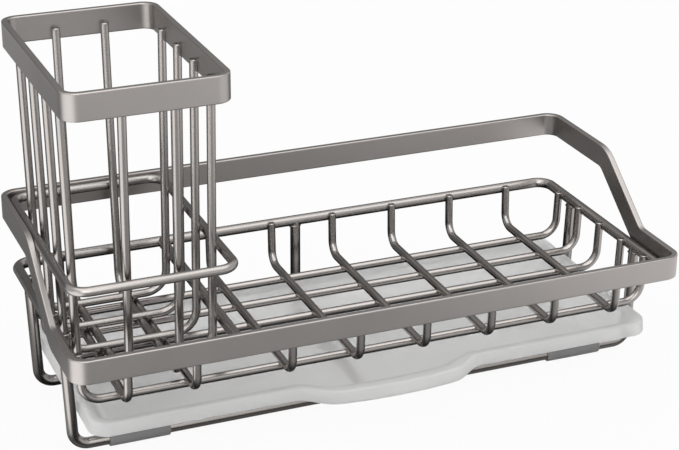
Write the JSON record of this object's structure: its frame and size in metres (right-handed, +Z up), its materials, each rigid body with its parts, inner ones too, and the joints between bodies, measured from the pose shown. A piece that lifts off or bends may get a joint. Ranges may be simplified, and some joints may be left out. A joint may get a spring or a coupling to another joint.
{
  "type": "kitchen sink caddy",
  "caption": "Sink caddy: wire basket in a sloped flat-steel band on foot loops, with a lift-out wire brush holder and a slide-out drip tray.",
  "frame": {"origin": "centre of the footprint on the surface the caddy stands on", "axes": "+X along the length to the right, +Y to the rear, +Z up"},
  "size_m": [0.3, 0.135, 0.1785],
  "materials": {
    "band_steel": "satin gunmetal",
    "rod_steel": "satin gunmetal",
    "wire_steel": "satin gunmetal",
    "sleeve_rubber": "matt",
    "tray_plastic": "frosted translucent"
  },
  "bodies": {
    "frame": {"top_band": "band_steel", "rim_ring": "rod_steel", "divider_rod": "rod_steel", "holder_guide_ring": "rod_steel", "front_foot_loop": "rod_steel", "rear_foot_loop": "rod_steel", "rear_strut": "rod_steel", "base_strut": "rod_steel", "foot_sleeve_front_left": "sleeve_rubber", "foot_sleeve_front_right": "sleeve_rubber", "foot_sleeve_rear_left": "sleeve_rubber", "foot_sleeve_rear_right": "sleeve_rubber", "long_wire_1": "wire_steel", "long_wire_2": "wire_steel", "long_wire_3": "wire_steel", "long_wire_4": "wire_steel", "long_wire_5": "wire_steel", "short_wire_1": "wire_steel", "short_wire_2": "wire_steel", "short_wire_3": "wire_steel", "short_wire_4": "wire_steel", "short_wire_5": "wire_steel", "short_wire_6": "wire_steel", "short_wire_7": "wire_steel", "short_wire_8": "wire_steel"},
    "drip_tray": {"drip_tray": "tray_plastic"},
    "brush_holder": {"holder_band": "band_steel", "holder_cross_wire_1": "wire_steel", "holder_cross_wire_2": "wire_steel", "holder_cross_wire_3": "wire_steel", "holder_cross_wire_4": "wire_steel", "holder_run_wire_1": "wire_steel", "holder_run_wire_2": "wire_steel"}
  },
  "joints": [
    {"name": "tray_slide", "type": "slide", "parent": "frame", "child": "drip_tray", "axis": [0, -1, 0], "range_m": [0, 0.12]},
    {"name": "holder_lift", "type": "slide", "parent": "frame", "child": "brush_holder", "axis": [0, 0, 1], "range_m": [0, 0.1]}
  ]
}
